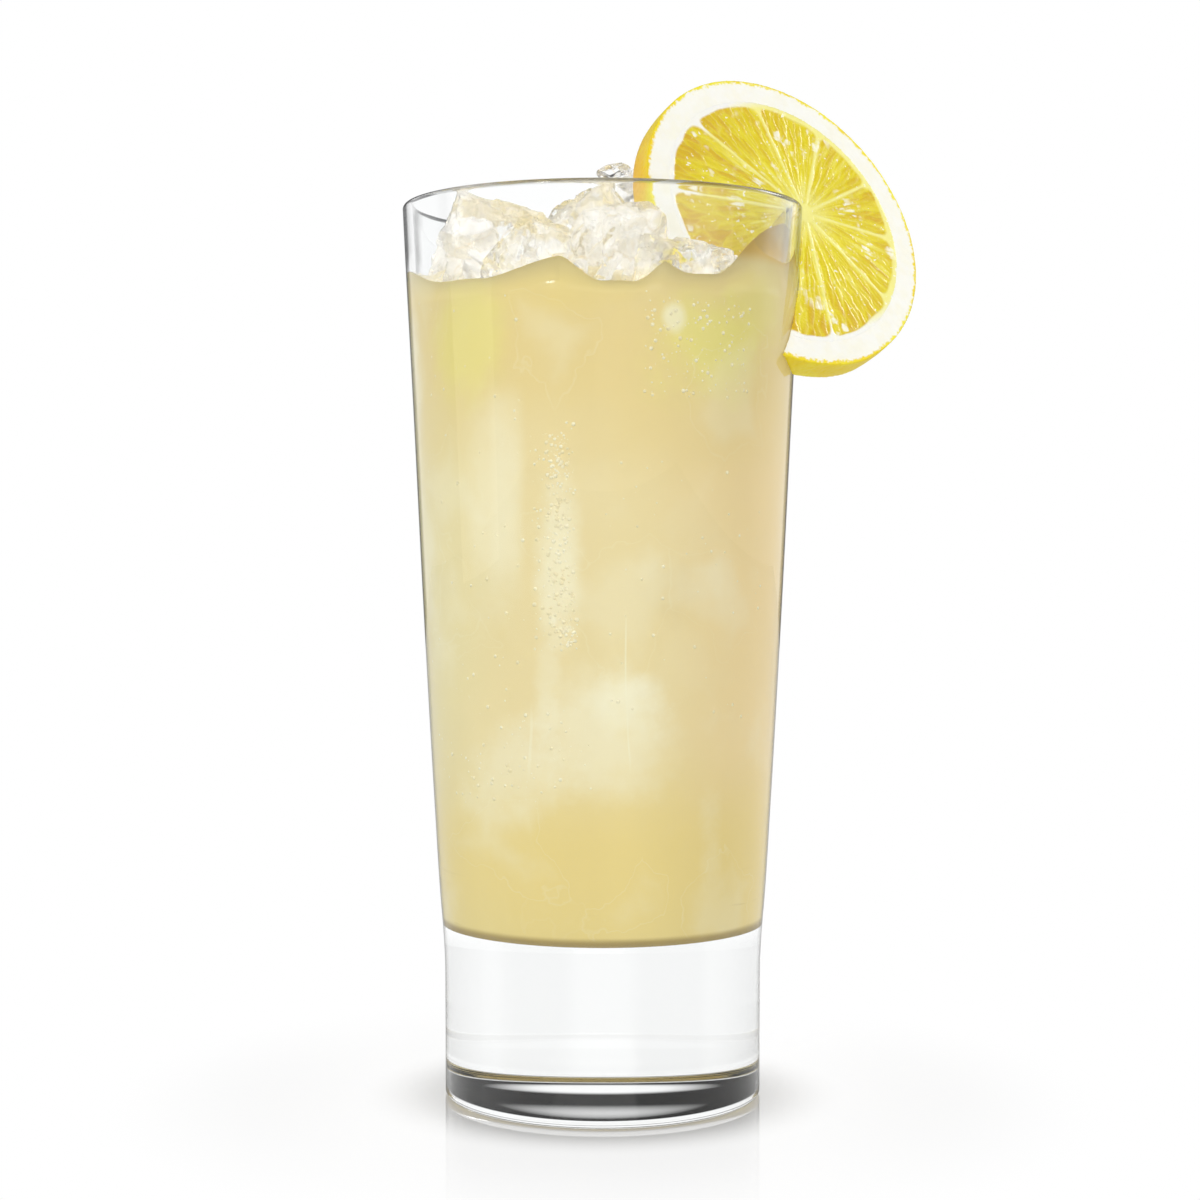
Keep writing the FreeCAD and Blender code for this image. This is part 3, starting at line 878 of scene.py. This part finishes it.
def makeShards(v, material):
    # broken bits of ice that float between the lumps, joined as one piece
    dice = random.Random(v["shardSeed"])
    form = bmesh.new()
    level = drinkValues["level"]
    for bearing, inset, lift, size in v["shards"]:
        radius, angle = innerRadius(level) - inset, math.radians(bearing)
        middle = Vector(atBearing(radius, angle, drinkTop(radius, angle, level) + lift))
        made = bmesh.ops.create_icosphere(form, subdivisions=4, radius=size / 2)["verts"]
        shape = [dice.uniform(*v["shardWide"]) for axis in range(2)]
        shape.append(dice.uniform(*v["shardFlat"]))
        turn = Matrix.Rotation(dice.uniform(0, 6.28), 3, "Z")
        turn = turn @ Matrix.Rotation(dice.uniform(-0.5, 0.5), 3, "X")
        cuts = []
        for cut in range(v["shardCuts"]):
            n = Vector([dice.gauss(0, 1) for axis in range(3)]).normalized()
            cuts.append((n, size * dice.uniform(*v["cutDepth"])))
        for vertex in made:
            p = vertex.co.copy()
            for n, depth in cuts:
                p -= n * max(p.dot(n) - depth, 0.0)
            p = turn @ Vector((p.x * shape[0], p.y * shape[1], p.z * shape[2]))
            vertex.co = middle + p * mm
    mesh = bpy.data.meshes.new("iceShards")
    form.to_mesh(mesh)
    form.free()
    shards = linked("iceShards", mesh)
    smoothFaces(mesh)
    dress(shards, material, "ice")
    print("ice: shards", len(mesh.polygons), "faces")


lemonValues = {
    "middle": (34.1, 0.0, 162.8), "turn": 33.5, "tilt": 65.8,
    "radius": 30.6, "thickness": 5.6, "offset": 3.4,
    "split": 25.6, "overlap": 0.4, "pulpRadius": 24.7, "core": (5.2, 2.0),
    "segmentStart": 211.0, "segments": (18, 37, 42, 40, 36, 39, 38, 38, 37, 35), "membrane": 0.55,
    "notchInset": 4.2, "notchStart": 217.5, "notchAngle": 75.0, "fit": 0.15,
    "notchReach": 90.0, "slit": (100.0, 164.2, 164.9), "cutSpan": (-14.0, 8.0),
    "wallSteps": 160, "rodSteps": 180, "discSteps": 200,
    "pulpVoxel": 0.23, "rindVoxel": 0.25, "peelDepth": 1.05,
    "deep": srgb(213, 174, 0), "flesh": srgb(224, 204, 0), "light": srgb(237, 223, 48),
    # the glint colour is the white of the painted highlights on the pulp
    "pith": srgb(248, 247, 238), "membraneTone": srgb(245, 238, 140), "paintedGlintTone": srgb(254, 253, 236),
    "peel": srgb(242, 230, 44), "peelDeep": srgb(240, 214, 16), "peelWarm": srgb(240, 172, 10),
    "pithBlotch": srgb(246, 241, 214),
    # juice sacs: how far apart segments lie, turns to mm, how long they are drawn, their spacing
    "apart": 60.0, "around": 15.0, "along": 0.15, "spacing": 0.86, "rows": (-1, 8), "sacSeed": 41,
}


def slicePlace(v):
    turn = Matrix.Rotation(math.radians(v["turn"]), 4, "Z")
    tilt = Matrix.Rotation(math.radians(v["tilt"]), 4, "X")
    return Matrix.Translation(Vector(v["middle"]) * mm) @ (turn @ tilt)


def sliceDisc(v):
    # the part of the fruit between two knife cuts, set in its place on the rim
    half, low = v["radius"], -v["thickness"]
    fruit = v["offset"] - v["thickness"]  # the fruit's middle lies under the cut face

    def across(z):
        return math.sqrt(half ** 2 - (z - fruit) ** 2)

    profile = [(0.0, low)] + [(across(low) * s, low) for s in (0.3, 0.6, 0.9)]
    profile += [(across(z), z) for z in np.linspace(low, 0.0, 9)]
    profile += [(across(0.0) * s, 0.0) for s in (0.9, 0.6, 0.3)] + [(0.0, 0.0)]
    disc = turnedMesh("disc", profile, v["discSteps"])
    disc.data.transform(slicePlace(v))
    return disc


def wallRing(v):
    # the glass's wall with its fit, as the slit leaves it free
    low, outerTop, innerTop = v["slit"]
    heights = np.linspace(low, glassValues["height"] + v["fit"], 14)
    outer = [(outerRadius(min(z, outerTop)) + v["fit"], z) for z in heights]
    inner = [(innerRadius(min(z, innerTop)) - v["fit"], z) for z in heights[::-1]]
    points, faces = [], []
    ring, steps = outer + inner, v["wallSteps"]
    count = len(ring)
    for step in range(steps):
        angle = 2 * math.pi * step / steps
        points += [atBearing(radius, angle, z) for radius, z in ring]
        here, there = step * count, (step + 1) % steps * count
        for index in range(count):
            after = (index + 1) % count
            faces.append((here + index, there + index, there + after, here + after))
    return meshObject("ring", points, faces, smooth=False)


def notchWedge(v):
    # the wedge missing from the flap inside the glass
    x, y = v["core"][0] - v["notchInset"], v["core"][1]
    outline, reach = [(x, y)], v["notchReach"]
    for share in (0.0, 0.5, 1.0):
        angle = math.radians(v["notchStart"] + share * v["notchAngle"])
        outline.append((x + reach * math.cos(angle), y + reach * math.sin(angle)))
    points = [(x * mm, y * mm, z * mm) for z in v["cutSpan"] for x, y in outline]
    faces = [(3, 2, 1, 0), (4, 5, 6, 7)]
    faces += [(i, (i + 1) % 4, 4 + (i + 1) % 4, 4 + i) for i in range(4)]
    wedge = meshObject("wedge", points, faces, smooth=False)
    wedge.data.transform(slicePlace(v))
    low, bends, top = 60.0, (60.0, 90.0, 120.0, 150.0, 164.0), 175.0
    profile = [(0.0, low)] + [(innerRadius(z) - v["fit"], z) for z in bends]
    profile += [(innerRadius(bends[-1]), top), (0.0, top)]
    return combined(wedge, turnedMesh("well", profile, v["wallSteps"]), "INTERSECT")


def lemonSolids(v, place):
    # pulp and rind as fine meshes, with the slit for the wall and the missing wedge
    disc = combined(sliceDisc(v), wallRing(v), "DIFFERENCE")
    disc = combined(disc, notchWedge(v), "DIFFERENCE")
    rods = []
    for across in (v["split"], v["split"] - v["overlap"]):
        low, high = v["cutSpan"]
        profile = [(0.0, low), (across, low), (across, high), (0.0, high)]
        rods.append(turnedMesh("rod", profile, v["rodSteps"]))
        rods[-1].data.transform(place)
    discCopy = linked("discCopy", disc.data.copy())
    pulp = voxelMesh(combined(disc, rods[0], "INTERSECT"), v["pulpVoxel"])
    rind = voxelMesh(combined(discCopy, rods[1], "DIFFERENCE"), v["rindVoxel"])
    pulp.name, rind.name = "lemonPulp", "lemonRind"
    return pulp, rind


def juiceSacs(v, widths):
    # seeds of the juice sacs: long drops that point to the core, one set for each segment
    dice = random.Random(v["sacSeed"])
    spacing, seeds = v["spacing"], []
    for index, width in enumerate(widths):
        for row in range(*v["rows"]):
            for column in range(-1, int(width * v["around"] / spacing) + 2):
                across = (column + dice.uniform(-0.42, 0.42)) * spacing
                down = (row + 0.5 * (column % 2) + dice.uniform(-0.4, 0.4)) * spacing
                seeds.append((index * v["apart"] + across, down, dice.random()))
    tree = KDTree(len(seeds))
    for index, (a, b, tone) in enumerate(seeds):
        tree.insert((a, b, 0.0), index)
    tree.balance()
    return seeds, tree


def cutFace(v, local, widths, seeds, tree):
    # for points of the cut face: pulp share, sac dome, sac border, sac tone, distance from the core
    dx, dy = local[:, 0] - v["core"][0], local[:, 1] - v["core"][1]
    rho = np.hypot(dx, dy)
    phi = (np.arctan2(dy, dx) - math.radians(v["segmentStart"])) % (2 * math.pi)
    ends = np.cumsum(widths)
    index = np.minimum(np.searchsorted(ends, phi), len(widths) - 1)
    inner, outer = phi - (ends[index] - widths[index]), ends[index] - phi
    wobble = turbulence(np.c_[local[:, :2], np.zeros(len(local))], 0.16, 2.0, 2)
    lateral = rho * np.sin(np.minimum(np.minimum(inner, outer), math.pi / 2))
    rim = v["pulpRadius"] - np.hypot(local[:, 0], local[:, 1]) + 0.35 * wobble
    blend = 2.2  # rounds each segment's outer corners
    gap = np.maximum(blend - np.abs(lateral - rim), 0.0) / blend
    edge = np.minimum(lateral, rim) - gap * gap * blend * 0.25
    edge = np.minimum(edge, (rho - 1.5 - 0.5 * wobble) * 0.6) + 0.10 * wobble
    share = smoothstep(v["membrane"] * 0.5 - 0.18, v["membrane"] * 0.5 + 0.22, edge)
    bend = turbulence(np.c_[local[:, :2], np.full(len(local), 7.0)], 0.22, 5.0, 2)
    a = index * v["apart"] + inner * v["around"] + 0.45 * bend
    b = rho * v["along"]
    dome, border, tone = np.zeros((3, len(local)))
    for row in range(len(local)):
        (_, first, near), (_, second, far) = tree.find_n((a[row], b[row], 0.0), 2)
        dome[row], border[row], tone[row] = near, far - near, seeds[first][2]
    dome = 1.0 - np.clip(dome / 0.95, 0, 1) ** 2
    return share, dome, 1.0 - smoothstep(0.0, 0.30, border), tone, rho


def shapeSlice(v, thing, isRind, place, *sacs):
    local = moved(coordinates(thing.data), place.inverted()) / mm
    share, dome, border, tone, rho = cutFace(v, local, *sacs)
    span, depth = np.hypot(local[:, 0], local[:, 1]), local[:, 2]
    front = smoothstep(-1.6, -0.2, depth)
    back = smoothstep(-v["thickness"] + 1.6, -v["thickness"] + 0.2, depth)
    spongy = turbulence(local, 0.55, 4.0, 3)
    fine = turbulence(local * np.array([1, 1, 0.2]), 2.6, 6.0, 2)
    relief = -0.04 - 0.05 * (1 + spongy) - 0.02 * (1 + fine)
    if not isRind:
        sac = -0.42 + 0.22 * dome - 0.07 * border + 0.22 * (tone - 0.5) + 0.04 * fine
        relief = relief * (1 - share) + sac * share
        relief -= 0.25 * (1 - smoothstep(0.8, 2.6, rho))
    local[:, 2] += relief * front - relief * back
    if isRind:  # the skin's fine pores, and its rounded lip at both cuts
        local[:, 2] -= 0.04 * (1 - smoothstep(v["split"], v["split"] + 0.4, span)) * (front - back)
        out = local - np.array([0.0, 0.0, v["offset"] - v["thickness"]])
        far = np.linalg.norm(out, axis=1)
        skin = smoothstep(v["radius"] - 0.5, v["radius"] - 0.1, far)
        dimple = np.clip(turbulence(local, 1.25, 8.0, 2), 0, 1)
        swell = turbulence(local, 0.18, 9.0, 2)
        lumpy = turbulence(local * np.array([1, 1, 0.3]), 0.055, 12.0, 2)
        inward = 0.05 + 0.16 * dimple + 0.14 * (1 + swell) * 0.5 + 0.55 * (0.5 + 0.5 * lumpy)
        local -= out / far[:, None] * (inward * skin)[:, None]
        depthIn = v["radius"] - far + 0.50 * turbulence(local, 1.5, 11.0, 3)
        peel = 1.0 - smoothstep(v["peelDepth"] - 0.30, v["peelDepth"] + 0.15, depthIn)
        addAttributes(thing.data, peel=peel, pore=dimple)
    else:
        turn = np.arctan2(local[:, 1] - v["core"][1], local[:, 0] - v["core"][0])
        threads = np.c_[np.cos(turn) * 16.0, np.sin(turn) * 16.0, rho * 0.10]
        thread = 0.5 + 0.5 * turbulence(threads, 1.0, 14.0, 3)
        addAttributes(thing.data, flesh=share, border=border, tone=tone, reach=rho / 28.0,
                      dome=dome, thread=thread)
    setCoordinates(thing.data, moved(local * mm, place))
    smoothFaces(thing.data)


def pulpMaterial(v):
    material, maker = newMaterial("lemon_pulp")
    where = maker.place()
    mixed, mask, noiseAt = maker.mixColour, maker.mask, maker.noise
    tone, border, flesh, reach, thread, dome = (
        maker.attribute(name) for name in ("tone", "border", "flesh", "reach", "thread", "dome"))
    mottle = noiseAt(where, 420.0, 3.0, 0.6)
    depthTone = tone * 0.40 + reach * 0.50 + (mottle - 0.5) * 0.35 + (0.5 - thread) * 0.55
    colour = maker.ramp(depthTone, [(0.15, v["light"]), (0.45, v["flesh"]), (0.85, v["deep"])])
    colour = mixed(border * 0.45, colour, v["light"])
    colour = mixed(mask(reach, 0.30, 0.05) * 0.7, colour, v["membraneTone"])
    pale = mask(thread, 0.62, 0.80) * mask(reach, 0.85, 0.35) * 0.55
    colour = mixed(pale, colour, v["membraneTone"])
    white = mixed(mask(reach, 0.80, 0.90), v["membraneTone"], v["pith"])
    colour = mixed(flesh, white, colour)
    # painted highlights: white glints on the juice sacs' domes, in patches, and fine white specks
    # along the threads
    paintedGlintPlaces = mask(noiseAt(where, 130.0, 3.0), 0.50, 0.66)
    paintedSacGlints = mask(dome, 0.70, 0.93) * mask(noiseAt(where, 420.0, 2.0), 0.52, 0.62) * paintedGlintPlaces
    paintedSpecks = mask(noiseAt(where, 980.0, 2.0), 0.665, 0.70) * mask(thread, 0.35, 0.55)
    colour = mixed(paintedSacGlints.orMore(paintedSpecks) * 0.85, colour, v["paintedGlintTone"])
    wet = noiseAt(where, 1500.0, 2.0, 0.5) * 0.6 + noiseAt(where, 520.0, 2.0, 0.5)
    bump = maker.node("ShaderNodeBump", None, {"Strength": 0.55, "Distance": 0.00022, "Height": wet})
    finish(maker, maker.principled({
        "Normal": bump.outputs[0], "Base Color": colour, "Roughness": 0.30, "IOR": 1.38,
        "Coat Weight": 0.65, "Coat Roughness": 0.04, "Subsurface Weight": 0.15,
        "Subsurface Radius": (1.0, 0.9, 0.2), "Subsurface Scale": 0.0010}))
    return material


def rindMaterial(v):
    material, maker = newMaterial("lemon_rind")
    where = maker.place()
    mixed, mask = maker.mixColour, maker.mask
    patchy = maker.noise(where, 90.0, 3.0, 0.5)
    colour = mixed(mask(patchy, 0.40, 0.65), v["peel"], v["peelDeep"])
    colour = mixed(maker.attribute("pore") * 0.35, colour, v["peelDeep"])
    warm = mask(maker.axis(where, "X"), 0.012, 0.004) * mask(patchy, 0.38, 0.55) * 0.75
    colour = mixed(warm, colour, v["peelWarm"])
    blotch = mask(maker.noise(where, 300.0, 3.0, 0.6), 0.35, 0.7)
    pith = mixed(blotch * 0.4, v["pith"], v["pithBlotch"])
    finish(maker, maker.principled({
        "Base Color": mixed(maker.attribute("peel"), pith, colour), "Roughness": 0.42,
        "IOR": 1.45, "Subsurface Weight": 0.08, "Subsurface Radius": (1.0, 0.9, 0.5),
        "Subsurface Scale": 0.0010}))
    return material


def makeLemon(v):
    place = slicePlace(v)
    pulp, rind = lemonSolids(v, place)
    widths = np.radians(np.array(v["segments"], float))
    sacs = (widths, *juiceSacs(v, widths))
    shapeSlice(v, pulp, False, place, *sacs)
    shapeSlice(v, rind, True, place, *sacs)
    dress(pulp, pulpMaterial(v), "lemon_pulp", "lemon_slice")
    dress(rind, rindMaterial(v), "lemon_rind", "lemon_slice")
    print("lemon:", len(pulp.data.polygons), "pulp faces,", len(rind.data.polygons), "rind faces")


makeCamera(cameraValues)
makeWorld(worldValues)
makeFloor(floorValues)
makeLamps(lampValues, fillValues)
print("stage: camera, world, floor and lamps")
makeGlass(glassValues)
makeDrink(drinkValues)
makeBubbles(bubbleValues)
makeIce(iceValues)
makeLemon(lemonValues)

bpy.context.scene.view_settings.view_transform = "Standard"
